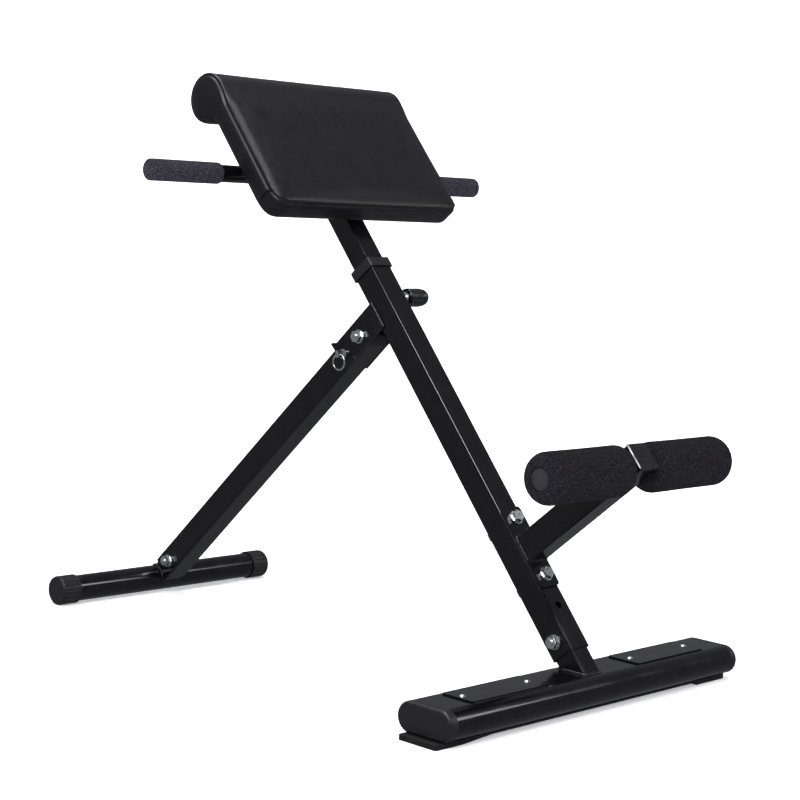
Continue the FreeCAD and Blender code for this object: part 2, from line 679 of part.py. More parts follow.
def pad_cushion():
    """Upholstered hip pad: a thick slab with a full round roll along its upper edge."""
    slab = box(PAD_BACK, PAD_FACE, -PAD_HALF_WIDTH, PAD_HALF_WIDTH, PAD_BOTTOM, ROLL_AT)
    low = [edge for edge in slab.Edges
           if edge.BoundBox.ZMax < PAD_BOTTOM + 1e-3 and edge.BoundBox.YLength > 100]
    slab = slab.makeFillet(14.0, low)
    roll_x = PAD_FACE - ROLL_R
    roll = across(ROLL_R, roll_x, ROLL_AT, -PAD_HALF_WIDTH, PAD_HALF_WIDTH)
    recess = box(PAD_BACK - 30, BOARD_FRONT, -BOARD_HALF_WIDTH, BOARD_HALF_WIDTH, BOARD_BOTTOM, BOARD_TOP)
    corners = [edge for edge in recess.Edges if abs(edge.BoundBox.XLength - recess.BoundBox.XLength) < 1e-3]
    recess = recess.makeFillet(12.0, corners)
    post_room = box(0, HALF_INNER + 1.0, -HALF_INNER - 1.0, HALF_INNER + 1.0, 900, UPPER_POST_TOP + 4)
    return in_post(cut(fuse([slab, roll]), [recess, post_room]))


# ---- bolted joints ----------------------------------------------------------------------------
def frame_bolt_sets():
    """Bolts that stay with the fixed frame: lower post, strut pivot and roller bracket."""
    sets = {}
    lower = POST_FRAME.multVec(Vector(0, HALF_OUTER + WASHER_THICK, LOWER_BOLT_AT))
    sets["lower_post"] = bolt_set(lower - Vector(0, WASHER_THICK, 0), Vector(0, -1, 0), OUTER)
    cheek = HALF_OUTER + GAP + 3.0
    start = STRUT_FRAME.multVec(Vector(0, cheek, STRUT_LENGTH))
    sets["strut_pivot"] = bolt_set(start, Vector(0, -1, 0), 2 * cheek)
    forward = POST_FRAME.Rotation.multVec(Vector(-1, 0, 0))
    for number, along in enumerate(roller_bolt_places()):
        start = post_point(along, HALF_OUTER + BRACKET_PLATE)
        sets["roller_%d" % number] = bolt_set(start, forward, OUTER + BRACKET_PLATE)
    return sets


def strut_bolt_set():
    start = STRUT_FRAME.multVec(Vector(0, HALF_OUTER, FOOT_BOLT_UP))
    return bolt_set(start, Vector(0, -1, 0), OUTER)


# ---- the whole chair --------------------------------------------------------------------------
def all_nodes():
    nodes = {
        "base_tube": base_tube(),
        "base_sole": base_sole(),
        "foot_plate_screws": foot_plate_screws(),
        "lower_post": lower_post(),
        "main_post": main_post(),
        "post_collar": post_collar(),
        "roller_bracket": roller_bracket(),
        "roller_arm": roller_arm(),
        "arm_end_plug": arm_end_plug(),
        "roller_axle": roller_axle(),
        "roller_end_plugs": roller_end_plugs(),
        "roller_spacers": roller_spacers(),
        "strut_bracket": strut_bracket(),
        "front_strut": front_strut(),
        "strut_spigot": strut_spigot(),
        "front_foot_tube": front_foot_tube(),
        "lock_pin": lock_pin(),
        "lock_ring": lock_ring(),
        "pull_pin_housing": pull_pin_housing(),
        "pull_pin": pull_pin(),
        "pull_knob": pull_knob(),
        "pull_pin_spring": pull_pin_spring(),
        "upper_post": upper_post(),
        "upper_post_plug": upper_post_plug(),
        "handlebar": handlebar(),
        "handlebar_plugs": handlebar_plugs(),
        "pad_mount_plates": pad_mount_plates(),
        "pad_screws": pad_screws(),
        "pad_board": pad_board(),
        "pad_cushion": pad_cushion(),
    }
    for name, side in (("left", -1), ("right", 1)):
        nodes["base_end_cap_" + name] = base_end_cap(side)
        nodes["foot_plate_" + name] = foot_plate(side)
        nodes["roller_sleeve_" + name] = roller_sleeve(side)
        nodes["roller_foam_" + name] = roller_foam(side)
        nodes["front_foot_cap_" + name] = front_foot_cap(side)
        nodes["hand_grip_" + name] = hand_grip(side)
    sets = frame_bolt_sets()
    nodes["lower_post_bolt"] = sets["lower_post"][0]
    nodes["strut_pivot_bolt"] = sets["strut_pivot"][0]
    nodes["roller_bracket_bolts"] = Part.makeCompound([sets["roller_0"][0], sets["roller_1"][0]])
    washers = []
    for one in sets.values():
        washers.extend(one[1])
    nodes["frame_washers"] = Part.makeCompound(washers)
    nodes["frame_nuts"] = Part.makeCompound([one[2] for one in sets.values()])
    bolt_part, washer_parts, nut_part = strut_bolt_set()
    nodes["strut_foot_bolt"] = bolt_part
    nodes["strut_foot_washers"] = Part.makeCompound(washer_parts)
    nodes["strut_foot_nut"] = nut_part
    return nodes


def main():
    os.makedirs("parts", exist_ok=True)
    low = Vector(1e6, 1e6, 1e6)
    high = Vector(-1e6, -1e6, -1e6)
    for name, shape in all_nodes().items():
        solids = shape.Solids
        state = "ok" if shape.isValid() and solids and all(s.isClosed() for s in solids) else "BAD"
        limits = shape.BoundBox
        low = Vector(min(low.x, limits.XMin), min(low.y, limits.YMin), min(low.z, limits.ZMin))
        high = Vector(max(high.x, limits.XMax), max(high.y, limits.YMax), max(high.z, limits.ZMax))
        print("%-22s %2d solids  %9.1f mm3  %s" % (name, len(solids), shape.Volume, state))
        shape.exportStep("parts/%s.step" % name)
    print("box", low, high)
    print("strut pivot", PIVOT, "strut length", STRUT_LENGTH, "strut lean", STRUT_LEAN)
    print("lock pin", LOCK_POINT, "ring eye y", RING_EYE_Y)
    print("axle", post_point(AXLE_AT, AXLE_OUT), "pull pin", post_point(PULL_PIN_AT, 0), "post x", POST_X)


main()
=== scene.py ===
import json
import math

import bmesh
import bpy
import numpy as np
from mathutils import Matrix, Vector, noise
from mathutils.bvhtree import BVHTree


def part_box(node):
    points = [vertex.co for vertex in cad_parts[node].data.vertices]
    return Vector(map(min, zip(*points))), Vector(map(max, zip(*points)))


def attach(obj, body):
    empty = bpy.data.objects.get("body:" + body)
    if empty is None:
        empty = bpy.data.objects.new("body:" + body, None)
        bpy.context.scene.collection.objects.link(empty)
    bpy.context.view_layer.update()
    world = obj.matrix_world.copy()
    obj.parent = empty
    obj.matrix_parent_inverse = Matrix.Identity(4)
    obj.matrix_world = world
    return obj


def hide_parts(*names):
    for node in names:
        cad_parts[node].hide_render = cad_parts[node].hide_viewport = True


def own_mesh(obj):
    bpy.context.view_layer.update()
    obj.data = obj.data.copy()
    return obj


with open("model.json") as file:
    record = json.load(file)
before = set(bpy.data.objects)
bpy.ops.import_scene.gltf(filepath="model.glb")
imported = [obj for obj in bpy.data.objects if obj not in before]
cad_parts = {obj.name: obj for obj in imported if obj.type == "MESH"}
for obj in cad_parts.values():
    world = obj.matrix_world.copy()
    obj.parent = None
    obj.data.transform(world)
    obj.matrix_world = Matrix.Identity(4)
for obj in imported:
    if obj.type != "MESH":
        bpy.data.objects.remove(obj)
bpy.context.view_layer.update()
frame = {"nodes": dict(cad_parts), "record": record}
SLOT_OF = {part["node"]: part["material_slot"] for part in frame["record"]["subparts"]}

# ---- places, in metres in the row frame; s runs up the sloping post, n out of its rear face ----
POST_ANGLE = math.radians(50)
UP = Vector((-math.cos(POST_ANGLE), 0, math.sin(POST_ANGLE)))
OUT = Vector((math.sin(POST_ANGLE), 0, math.cos(POST_ANGLE)))
HANDLEBAR_S = 0.918


def middle(node):
    low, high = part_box(node)
    return (low + high) / 2


POST_FOOT = middle("handlebar") - UP * HANDLEBAR_S


def on_post(s, n, y):
    return POST_FOOT + UP * s + OUT * n + Vector((0, y, 0))


HALF_OUTER = 0.020           # half widths of the square tubes
HALF_INNER = 0.0175
ARM_S = 0.2444
BRACKET_FACE_N = 0.024
BRACKET_WELD_S = (0.649, 0.694)
BRACKET_WELD_N = -0.0125
BRACKET_WELD_OUT = 0.0015
PLATE_WELDS_S = (0.862, 0.972)
PLATE_WELD_HALF = 0.017
PAD_HALF = 0.192
PAD_BOTTOM_S = 0.817
PAD_BACK_N = 0.021
PAD_FACE_N = 0.064
ROLL_S = 1.041
ROLL_N = 0.025
ROLL_R = 0.039
ROLL_LOW_S = ROLL_S - ROLL_R
BOARD_FRONT_N = 0.0335
BOARD_BACK_N = 0.0205
BOARD_S = (0.839, 0.996)
BOARD_HALF = 0.178
TURNED_EDGE_THICK = 0.0011


# ---- mesh helpers ------------------------------------------------------------------------------
def mesh_object(name, points, faces, material, smooth=True, inward=False):
    mesh = bpy.data.meshes.new(name)
    mesh.from_pydata([tuple(p) for p in points], [], faces)
    mesh.validate()
    bm = bmesh.new()
    bm.from_mesh(mesh)
    bmesh.ops.recalc_face_normals(bm, faces=bm.faces)
    if inward:
        bmesh.ops.reverse_faces(bm, faces=bm.faces)
    bm.to_mesh(mesh)
    bm.free()
    mesh.polygons.foreach_set("use_smooth", [smooth] * len(mesh.polygons))
    obj = bpy.data.objects.new(name, mesh)
    bpy.context.scene.collection.objects.link(obj)
    obj.data.materials.append(material)
    return obj


def add_object(name, points, faces, material, body, smooth=True):
    """A piece of the part, which rides a body and carries the given material."""
    obj = mesh_object(name, points, faces, material, smooth)
    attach(obj, body)
    return obj


def strip_faces(rows, columns, close_rows=False, close_columns=False, first=0):
    """Quads of a grid of points stored row by row."""
    faces = []
    for i in range(rows if close_rows else rows - 1):
        for j in range(columns if close_columns else columns - 1):
            a = first + i * columns + j
            b = first + i * columns + (j + 1) % columns
            c = first + ((i + 1) % rows) * columns + (j + 1) % columns
            d = first + ((i + 1) % rows) * columns + j
            faces.append((a, b, c, d))
    return faces


def axes_across(direction):
    """Two unit vectors square to a direction."""
    direction = direction.normalized()
    side = direction.cross(Vector((0, 0, 1)))
    if side.length < 1e-3:
        side = direction.cross(Vector((1, 0, 0)))
    side.normalize()
    return side, direction.cross(side).normalized()


def resample(path, spacing, closed):
    """Evenly spaced points along a path of straight lines."""
    points = list(path) + ([path[0]] if closed else [])
    lengths = [0.0]
    for a, b in zip(points, points[1:]):
        lengths.append(lengths[-1] + (b - a).length)
    count = max(8, round(lengths[-1] / spacing))
    found = []
    for step in range(count if closed else count + 1):
        want = lengths[-1] * step / count
        k = max(i for i, length in enumerate(lengths) if length <= want + 1e-9)
        k = min(k, len(points) - 2)
        share = (want - lengths[k]) / max(lengths[k + 1] - lengths[k], 1e-9)
        found.append(points[k].lerp(points[k + 1], share))
    return found


BEAD_STEP = 0.0009
WIRE_STEP = 0.002


def tube_along(name, path, radius, material, body, closed=True, sides=10, ripple=0.0, pitch=0.003):
    """A bead or wire along a path. A ripple gives it the overlapping rings of a weld."""
    spine = resample(path, BEAD_STEP if ripple else WIRE_STEP, closed)
    count = len(spine)
    points = []
    for i, here in enumerate(spine):
        before = spine[i - 1] if closed or i else here
        after = spine[(i + 1) % count] if closed or i < count - 1 else here
        side, up = axes_across(after - before)
        phase = (i * BEAD_STEP / pitch) % 1.0
        r = radius * (1 + ripple * (1 - 2 * abs(phase - 0.5) ** 0.7 * 1.4))
        r *= 1 + 0.5 * ripple * noise.noise(here * 300)
        for k in range(sides):
            turn = 2 * math.pi * k / sides
            points.append(here + (side * math.cos(turn) + up * math.sin(turn)) * r)
    faces = strip_faces(count, sides, close_rows=closed, close_columns=True)
    if not closed:
        faces.append(tuple(range(sides)))
        faces.append(tuple(range((count - 1) * sides, count * sides)))
    return add_object(name, points, faces, material, body)


def lathe(name, outline, centre, material, body, turns, rough, grain):
    """A closed outline of (y, radius) from the centre, turned about a line along Y, with a rough skin."""
    points = []
    for y, r in outline:
        for k in range(turns):
            turn = 2 * math.pi * k / turns
            ray = Vector((math.cos(turn), 0, math.sin(turn)))
            p = centre + Vector((0, y, 0)) + ray * r
            p += ray * rough * (noise.noise(p * grain) + 0.6 * noise.noise(p * grain * 2.3))
            points.append(p)
    faces = strip_faces(len(outline), turns, close_rows=True, close_columns=True)
    return add_object(name, points, faces, material, body)


# ---- materials ---------------------------------------------------------------------------------
class Finish:
    """A material whose colour, roughness and bump come from noise in the object's own space."""

    def __init__(self, name, roughness, metallic=0.0, specular=0.5):
        self.material = bpy.data.materials.new(name)
        self.material.use_nodes = True
        self.tree = self.material.node_tree
        self.shader = self.tree.nodes["Principled BSDF"]
        self.place = self.tree.nodes.new("ShaderNodeTexCoord").outputs["Object"]
        self.height = None
        self.put("Metallic", metallic)
        self.put("Specular IOR Level", specular)
        self.put("Roughness", roughness)

    def put(self, socket, value):
        self.shader.inputs[socket].default_value = value

    def node(self, kind, **settings):
        made = self.tree.nodes.new(kind)
        for key, value in settings.items():
            if key in made.inputs:
                made.inputs[key].default_value = value
            else:
                setattr(made, key, value)
        return made

    def link(self, a, b):
        self.tree.links.new(a, b)

    def noise(self, scale, detail=3.0, stretch=(1, 1, 1)):
        texture = self.node("ShaderNodeTexNoise", Scale=scale, Detail=detail)
        self.link(self.stretched(stretch), texture.inputs["Vector"])
        return texture.outputs["Fac"]

    def cells(self, scale, feature="F1"):
        texture = self.node("ShaderNodeTexVoronoi", feature=feature, Scale=scale)
        self.link(self.place, texture.inputs["Vector"])
        return texture.outputs["Distance"]

    def stretched(self, stretch):
        if stretch == (1, 1, 1):
            return self.place
        mapping = self.node("ShaderNodeMapping", Scale=stretch)
        self.link(self.place, mapping.inputs["Vector"])
        return mapping.outputs["Vector"]

    def spread(self, value, low, high, start=0.3, end=0.7):
        """The value, from start to end, turned into low to high."""
        change = self.node("ShaderNodeMapRange")
        for key, number in (("From Min", start), ("From Max", end), ("To Min", low), ("To Max", high)):
            change.inputs[key].default_value = number
        self.link(value, change.inputs["Value"])
        return change.outputs["Result"]

    def colours(self, value, stops):
        ramp = self.node("ShaderNodeValToRGB")
        elements = ramp.color_ramp.elements
        while len(elements) < len(stops):
            elements.new(0.5)
        for element, (place, colour) in zip(elements, stops):
            element.position = place
            element.color = (*colour, 1)
        self.link(value, ramp.inputs["Fac"])
        self.link(ramp.outputs["Color"], self.shader.inputs["Base Color"])

    def roughness(self, value, low, high):
        self.link(self.spread(value, low, high), self.shader.inputs["Roughness"])

    def bump(self, value, depth, strength=1.0):
        step = self.node("ShaderNodeBump", Strength=strength, Distance=depth)
        self.link(value, step.inputs["Height"])
        if self.height is not None:
            self.link(self.height, step.inputs["Normal"])
        self.height = step.outputs["Normal"]
        self.link(self.height, self.shader.inputs["Normal"])


def powder_coat():
    f = Finish("gloss_black_powder_coat", 0.2, specular=0.42)
    f.colours(f.noise(35, 4), [(0.3, (0.0016, 0.0015, 0.0021)), (0.7, (0.0030, 0.0028, 0.0038))])
    f.roughness(f.noise(18, 5), 0.10, 0.20)
    f.bump(f.noise(650, 2), 0.00006, 0.12)
    f.bump(f.noise(60, 1), 0.0002, 0.08)
    return f.material


def weld_paint():
    f = Finish("painted_weld", 0.25, specular=0.45)
    f.colours(f.noise(300, 4), [(0.3, (0.0018, 0.0017, 0.0023)), (0.7, (0.0050, 0.0048, 0.0060))])
    f.roughness(f.noise(200, 3), 0.18, 0.34)
    f.bump(f.noise(900, 3), 0.00025, 0.5)
    return f.material


def zinc():
    f = Finish("bright_zinc_plate", 0.28, metallic=1.0)
    f.colours(f.noise(120, 5), [(0.3, (0.66, 0.68, 0.72)), (0.55, (0.80, 0.81, 0.82)),
                                (0.75, (0.86, 0.84, 0.79))])
    f.roughness(f.noise(260, 4), 0.16, 0.36)
    f.bump(f.noise(700, 3, (1, 6, 1)), 0.00006, 0.5)
    return f.material


def moulded_plastic(name, pale):
    """Fine-grained moulded plastic; pale times the colour of new black."""
    f = Finish(name, 0.45, specular=0.4)
    f.colours(f.noise(90, 4), [(0.3, (0.0050 * pale, 0.0047 * pale, 0.0056 * pale)),
                               (0.7, (0.0085 * pale, 0.0081 * pale, 0.0094 * pale))])
    f.roughness(f.noise(140, 4), 0.38, 0.52)
    f.bump(f.noise(1500, 2), 0.00012, 0.6)
    return f.material


def knob_plastic():
    f = Finish("polished_black_plastic", 0.2, specular=0.5)
    f.colours(f.noise(60, 3), [(0.3, (0.0035, 0.0034, 0.0042)), (0.7, (0.006, 0.0058, 0.007))])
    f.roughness(f.noise(90, 4), 0.14, 0.26)
    f.bump(f.noise(900, 2), 0.00006, 0.3)
    return f.material


def rubber():
    f = Finish("black_rubber", 0.65, specular=0.3)
    f.colours(f.noise(70, 5), [(0.3, (0.0035, 0.0033, 0.0036)), (0.7, (0.0075, 0.0072, 0.0078))])
    f.roughness(f.noise(120, 4), 0.55, 0.78)
    f.bump(f.noise(1100, 3), 0.00025, 0.6)
    return f.material


def foam(name, dark, mid, light, grain, depth):
    """Open foam: dark pores between paler beads, with a few bright flecks."""
    f = Finish(name, 0.95, specular=0.05)
    pores = f.cells(grain)
    beads = f.noise(grain * 0.9, 4)
    mixed = f.node("ShaderNodeMath", operation="ADD")
    scaled = f.spread(pores, 0.0, 0.35, 0.0, 0.8)
    f.link(scaled, mixed.inputs[0])
    f.link(f.spread(beads, 0.0, 0.65, 0.25, 0.8), mixed.inputs[1])
    f.colours(mixed.outputs["Value"], [(0.22, dark), (0.5, mid), (0.74, light)])
    f.roughness(f.noise(grain * 0.5, 3), 0.88, 1.0)
    f.bump(mixed.outputs["Value"], depth, 0.9)
    return f.material


def leather():
    """Smooth synthetic leather with a fine pebble grain and a faint cool sheen."""
    f = Finish("black_synthetic_leather", 0.38, specular=0.3)
    f.put("Sheen Weight", 0.006)
    f.put("Sheen Roughness", 0.35)
    f.put("Sheen Tint", (0.72, 0.74, 1.0, 1))
    f.colours(f.noise(28, 5), [(0.3, (0.0034, 0.0031, 0.0050)), (0.7, (0.0052, 0.0048, 0.0074))])
    f.roughness(f.noise(75, 5), 0.33, 0.44)
    f.bump(f.cells(620, "SMOOTH_F1"), 0.00022, 0.3)
    f.bump(f.noise(1600, 3), 0.00012, 0.3)
    f.bump(f.noise(46, 3), 0.0008, 0.08)
    return f.material


def thread():
    f = Finish("black_thread", 0.5, specular=0.25)
    f.colours(f.noise(900, 2), [(0.3, (0.014, 0.014, 0.017)), (0.7, (0.040, 0.040, 0.046))])
    f.roughness(f.noise(500, 2), 0.42, 0.6)
    f.bump(f.noise(2600, 2), 0.0002, 0.6)
    return f.material


def plywood():
    """Raw plywood: long grain, drawn out along Y."""
    f = Finish("raw_plywood", 0.7, specular=0.3)
    f.colours(f.noise(22, 6, (1, 0.12, 1)), [(0.3, (0.22, 0.13, 0.065)), (0.5, (0.36, 0.235, 0.12)),
                                             (0.72, (0.47, 0.33, 0.19))])
    f.roughness(f.noise(60, 4), 0.6, 0.82)
    f.bump(f.noise(160, 5, (1, 0.1, 1)), 0.0004, 0.5)
    return f.material


PAINT = powder_coat()
WELD = weld_paint()
ZINC = zinc()
PLASTIC = moulded_plastic("moulded_black_plastic", 1.0)
LEATHER = leather()
THREAD = thread()
ROLLER_FOAM = foam("granular_roller_foam", (0.0014, 0.0013, 0.0017), (0.0056, 0.0054, 0.0070),
                   (0.024, 0.023, 0.029), 820, 0.0006)
GRIP_FOAM = foam("speckled_grip_foam", (0.0042, 0.0040, 0.0056), (0.0125, 0.0119, 0.0168),
                 (0.058, 0.056, 0.074), 800, 0.0005)
POLISHED = knob_plastic()
WORN_PLASTIC = moulded_plastic("greyed_black_plastic", 2.6)
NODE_FINISHES = {"arm_end_plug": POLISHED, "roller_end_plugs": WORN_PLASTIC}
FINISHES = {"black_powder_coat": PAINT, "zinc_plate": ZINC, "black_plastic": PLASTIC,
            "knob_plastic": POLISHED, "black_rubber": rubber(), "grip_foam": GRIP_FOAM,
            "roller_foam": ROLLER_FOAM, "plywood": plywood(), "black_upholstery": LEATHER}


def finish_cad_nodes():
    for node, obj in frame["nodes"].items():
        material = NODE_FINISHES.get(node, FINISHES[SLOT_OF[node]])
        if not obj.material_slots:
            obj.data.materials.append(material)
        for material_slot in obj.material_slots:
            material_slot.link = "OBJECT"
            material_slot.material = material


# ---- pad ---------------------------------------------------------------------------------------
LOW_CORNER_R = 0.009         # rounding of the face's lower edge, where the front seam runs
LOW_BACK_R = 0.011           # the same at the back
EDGE_R = 0.010               # rounding from the face to the side, down to the side seam
ROLL_EDGE_R = 0.0045         # the same on the roll
PLAN_R = 0.020               # rounding of the lower corners seen square to the face
PLAN_S = (0.835, 0.885)      # that rounding fades out between these places
SHRINK = 0.0008              # the pad starts this much smaller and swells
HALF_COUNT = 58              # points from the bottom's middle to the pole on the roll, each way
POLE = math.radians(120)
ACROSS_COUNT = 8             # faces across an end panel
UNDER_ROLL_S = ROLL_LOW_S + 0.004
LOW_SEAM_INSET = 0.0026
PAST_SEAM = 0.0025           # the end panels start this far inside the seam
FACE_CROWN = 0.0055          # about the most that the face swells, and the edges below
EDGE_SWELL = 0.0016
END_DOME = 0.085             # how far the end panels bulge, as a share of their local width
SWELL_FRAMES = 20
EVEN_ROUNDS = 8
GROOVE_DEPTH = 0.0021
GROOVE_WIDTH = 0.0021
CORNER_PUCKER = 0.0011       # depth of the wrinkles at the lower corners, and along the rest of the seam
SEAM_PUCKER = 0.0002
PUCKER_REACH = 0.012
BROAD_WAVE = 0.0004


def ramp(value, low, high):
    """Smooth step from 0 at low to 1 at high."""
    share = np.clip((value - low) / (high - low), 0, 1)
    return share * share * (3 - 2 * share)


def pad_outline():
    """The pad's section as evenly spaced (s, n) points: up the face, over the roll and down the back."""
    low = PAD_BOTTOM_S
    face, back = PAD_FACE_N - SHRINK, PAD_BACK_N
    radius = ROLL_R - SHRINK
    front = [(low, (face + back) / 2)]
    centre = (low + LOW_CORNER_R, face - LOW_CORNER_R)
    for step in range(9):
        turn = math.radians(-90 + 90 * step / 8)
        front.append((centre[0] + LOW_CORNER_R * math.sin(turn), centre[1] + LOW_CORNER_R * math.cos(turn)))
    for step in range(25):
        turn = POLE * step / 24
        front.append((ROLL_S + radius * math.sin(turn), ROLL_N + radius * math.cos(turn)))
    rear = [(low, (face + back) / 2)]
    centre = (low + LOW_BACK_R, back + LOW_BACK_R)
    for step in range(7):
        turn = math.radians(-90 - 90 * step / 6)
        rear.append((centre[0] + LOW_BACK_R * math.sin(turn), centre[1] + LOW_BACK_R * math.cos(turn)))
    meet = math.acos((back - ROLL_N) / radius)
    for step in range(33):
        turn = (2 * math.pi - meet) + (POLE - (2 * math.pi - meet)) * step / 32
        rear.append((ROLL_S + radius * math.sin(turn), ROLL_N + radius * math.cos(turn)))

    def even(path):
        points = [Vector((s, n, 0)) for s, n in path]
        lengths = np.cumsum([0.0] + [(b - a).length for a, b in zip(points, points[1:])])
        wanted = np.linspace(0, lengths[-1], HALF_COUNT + 1)
        return np.stack([np.interp(wanted, lengths, [p[k] for p in points]) for k in (0, 1)], axis=1)

    up, down = even(front), even(rear)
    return np.concatenate([up, down[-2:0:-1]])


def pad_grid():
    """The pad's starting shape: points as (s, n, y), faces, and the numbers of the points along the seam."""
    outline = pad_outline()
    count = len(outline)
    ahead, behind = np.roll(outline, -1, axis=0), np.roll(outline, 1, axis=0)
    tangent = ahead - behind
    tangent /= np.linalg.norm(tangent, axis=1)[:, None]
    outward = np.stack([-tangent[:, 1], tangent[:, 0]], axis=1)
    if (outward[10] @ np.array([0, 1.0])) < 0:
        outward = -outward
    on_back = (outline[:, 1] < PAD_BACK_N + 0.004) & (outline[:, 0] < UNDER_ROLL_S)
    soften = np.convolve(np.where(on_back, 0.25, 1.0), np.ones(7) / 7, mode="same")
    soften[:3] = soften[-3:] = 1.0

    half = PAD_HALF - SHRINK
    edge = EDGE_R + (ROLL_EDGE_R - EDGE_R) * ramp(outline[:, 0], ROLL_LOW_S, ROLL_LOW_S + 0.03)
    rows = [(share, 0.0, 0.0) for share in np.linspace(0, 1, 34)]
    rows += [(1.0, math.radians(18 * k), 0.0) for k in range(1, 6)]
    seam_row = len(rows) - 1
    rows.append((1.0, math.radians(90), PAST_SEAM))
    rows = [(-1, *row) for row in rows[:0:-1]] + [(1, *row) for row in rows]
    middle_row = len(rows) // 2
    corner = np.array([PAD_BOTTOM_S + LOW_SEAM_INSET, PAD_FACE_N - SHRINK - LOW_SEAM_INSET])
    low_seam = int(np.argmin(np.linalg.norm(outline - corner, axis=1)))
    under_roll = [j for j in range(HALF_COUNT, count) if outline[j, 0] < UNDER_ROLL_S]

    points = []
    for side, share, turn, past_seam in rows:
        for j in range(count):
            inset = edge[j] * (1 - math.cos(turn)) + past_seam
            s, n = outline[j] - outward[j] * inset * soften[j]
            y = (half - edge[j]) * share + edge[j] * math.sin(turn) + 0.15 * past_seam
            points.append((s, n, side * y))
    faces = strip_faces(len(rows), count, close_columns=True)
    domes = [0.0] * len(points)
    for end in (0, len(rows) - 1):
        ring = [end * count + j for j in range(count)]
        table = [[ring[0]] * (ACROSS_COUNT + 1)]
        for j in range(1, HALF_COUNT):
            a, b = ring[j], ring[count - j]
            line = [a]
            for k in range(1, ACROSS_COUNT):
                share = k / ACROSS_COUNT
                pa, pb = np.array(points[a]), np.array(points[b])
                points.append(tuple(pa * (1 - share) + pb * share))
                domes.append(END_DOME * np.linalg.norm(pb - pa) * 4 * share * (1 - share))
                line.append(len(points) - 1)
            table.append(line + [b])
        table.append([ring[HALF_COUNT]] * (ACROSS_COUNT + 1))
        for first, second in zip(table, table[1:]):
            for k in range(ACROSS_COUNT):
                quad = [first[k], first[k + 1], second[k + 1], second[k]]
                face = tuple(dict.fromkeys(quad))
                if len(face) > 2:
                    faces.append(face)
    points = np.array(points)
    points[:, 2] += np.sign(points[:, 2]) * np.array(domes)
    reach = np.clip(np.abs(points[:, 2]) - (half - PLAN_R), 0, PLAN_R * 0.999)
    points[:, 0] += ramp(-points[:, 0], -PLAN_S[1], -PLAN_S[0]) * (PLAN_R - np.sqrt(PLAN_R ** 2 - reach ** 2))
    on_board = ((np.abs(points[:, 2]) < BOARD_HALF - 0.001) & (points[:, 1] < PAD_BACK_N + 0.002)
                & (points[:, 0] > BOARD_S[0] - 0.002) & (points[:, 0] < BOARD_S[1] + 0.002))
    points[on_board, 1] = BOARD_FRONT_N
    up_side = range(low_seam, under_roll[0])
    left, right = (middle_row - seam_row) * count, (middle_row + seam_row) * count
    seam = [left + j for j in reversed(up_side)]
    seam += range(left + count + low_seam, right, count)
    seam += [right + j for j in up_side]
    return points, faces, seam


def to_row(points):
    """(s, n, y) points to the row frame."""
    start, up, out = (np.array(v) for v in (POST_FOOT, UP, OUT))
    placed = start + points[:, :1] * up + points[:, 1:2] * out
    placed[:, 1] += points[:, 2]
    return placed


def from_row(places):
    """Places in the row frame to (s, n, y) points."""
    start, up, out = (np.array(v) for v in (POST_FOOT, UP, OUT))
    away = places - start
    return np.stack([away @ up, away @ out, places[:, 1]], axis=1)


def coordinates(mesh):
    co = np.empty(len(mesh.vertices) * 3)
    mesh.vertices.foreach_get("co", co)
    return co.reshape(-1, 3)


def evened(obj, values, rounds):
    """A value at each point, averaged with its neighbours' a few times."""
    ends = np.empty(len(obj.data.edges) * 2, dtype=np.int64)
    obj.data.edges.foreach_get("vertices", ends)
    ends = ends.reshape(-1, 2)
    count = np.zeros(len(values))
    np.add.at(count, ends[:, 0], 1)
    np.add.at(count, ends[:, 1], 1)
    for _ in range(rounds):
        total = np.zeros_like(values)
        np.add.at(total, ends[:, 0], values[ends[:, 1]])
        np.add.at(total, ends[:, 1], values[ends[:, 0]])
        values = 0.5 * values + 0.5 * total / count[:, None]
    return values


def swell(obj, held, cap):
    """Cloth simulation with pressure inside; the held points stay, and no point moves far beyond its cap."""
    before = coordinates(obj.data)
    group = obj.vertex_groups.new(name="held")
    for index in np.flatnonzero(held):
        group.add([int(index)], 1.0, "REPLACE")
    cloth = obj.modifiers.new("swell", "CLOTH")
    settings = cloth.settings
    settings.quality = 6
    settings.mass = 0.25
    settings.vertex_group_mass = "held"
    settings.pin_stiffness = 1.0
    settings.tension_stiffness = settings.compression_stiffness = 18
    settings.bending_stiffness = 1.2
    settings.shrink_min = -0.004
    settings.use_pressure = True
    settings.uniform_pressure_force = 4.0
    settings.effector_weights.gravity = 0.0
    cloth.collision_settings.use_collision = False
    scene = bpy.context.scene
    cloth.point_cache.frame_start = 1
    cloth.point_cache.frame_end = SWELL_FRAMES
    for number in range(1, SWELL_FRAMES + 1):
        scene.frame_set(number)
    graph = bpy.context.evaluated_depsgraph_get()
    after = coordinates(obj.evaluated_get(graph).data)
    obj.modifiers.remove(cloth)
    obj.vertex_groups.remove(group)
    scene.frame_set(1)
    move = after - before
    length = np.linalg.norm(move, axis=1)
    keep = cap * np.tanh(length / cap) / np.maximum(length, 1e-9)
    kept = np.where(held[:, None], 0.0, evened(obj, move * keep[:, None], EVEN_ROUNDS))
    obj.data.vertices.foreach_set("co", (before + kept).ravel())
    print("swell: largest move", round(float(length.max()) * 1000, 1), "mm, kept",
          round(float((length * keep).max()) * 1000, 1), "mm")


def subdivide(obj, levels):
    smooth = obj.modifiers.new("smooth", "SUBSURF")
    smooth.levels = smooth.render_levels = levels
    graph = bpy.context.evaluated_depsgraph_get()
    mesh = bpy.data.meshes.new_from_object(obj.evaluated_get(graph))
    obj.modifiers.remove(smooth)
    obj.data = mesh


